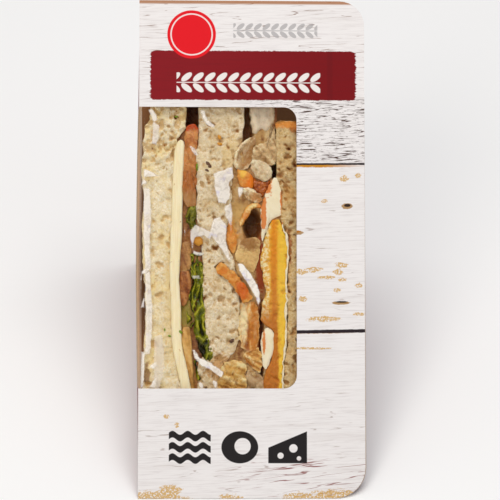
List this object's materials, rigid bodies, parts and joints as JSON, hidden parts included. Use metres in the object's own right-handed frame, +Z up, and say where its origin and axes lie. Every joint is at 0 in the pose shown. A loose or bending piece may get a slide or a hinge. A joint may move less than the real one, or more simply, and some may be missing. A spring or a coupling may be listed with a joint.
{
  "type": "packed club sandwich",
  "caption": "Diagonally cut club sandwich with bacon, egg, cheese and salad, in a triangular card wedge with a clear film window and a flat fin.",
  "frame": {"origin": "centre of the bounding box on the surface that the pack stands on", "axes": "+Z up along the upright back, -Y towards the sloped front with the window, +X to the right across the front, where the fin is"},
  "size_m": [0.0832, 0.127, 0.127],
  "materials": {
    "printed_card": "matte printed card, brown kraft inside",
    "clear_film": "thin glossy clear film, slightly creased",
    "bread_crumb": "matte open bread crumb with small pores and a browned crust",
    "cheese": "smooth waxy cheese",
    "tomato": "moist tomato flesh",
    "bacon": "moist cooked bacon",
    "lettuce": "satin leaf",
    "egg_white": "smooth boiled egg white",
    "egg_yolk": "crumbly cooked yolk",
    "relish": "wet relish"
  },
  "bodies": {
    "root": {"carton": "printed_card", "window_film": "clear_film", "bread_left": "bread_crumb", "bread_middle": "bread_crumb", "bread_right": "bread_crumb", "cheese_slice": "cheese", "tomato_slice": "tomato", "egg_white_top": "egg_white", "egg_white_low": "egg_white", "egg_white_rim": "egg_white", "egg_yolk": "egg_yolk", "yolk_crumble_1": "egg_yolk", "yolk_crumble_2": "egg_yolk", "yolk_crumble_pressed": "egg_yolk", "relish": "relish", "bacon_strip": "bacon", "bacon_fold_1": "bacon", "bacon_fold_2": "bacon", "bacon_fold_3": "bacon", "bacon_fold_4": "bacon", "bacon_fold_5": "bacon", "bacon_fold_6": "bacon", "bacon_fold_7": "bacon", "bacon_fold_8": "bacon", "bacon_fold_9": "bacon", "bacon_fold_10": "bacon", "bacon_rasher_1": "bacon", "bacon_rasher_2": "bacon", "bacon_rasher_3": "bacon", "lettuce_leaf_1": "lettuce", "lettuce_leaf_2": "lettuce", "lettuce_leaf_3": "lettuce", "lettuce_leaf_4": "lettuce"}
  },
  "joints": []
}
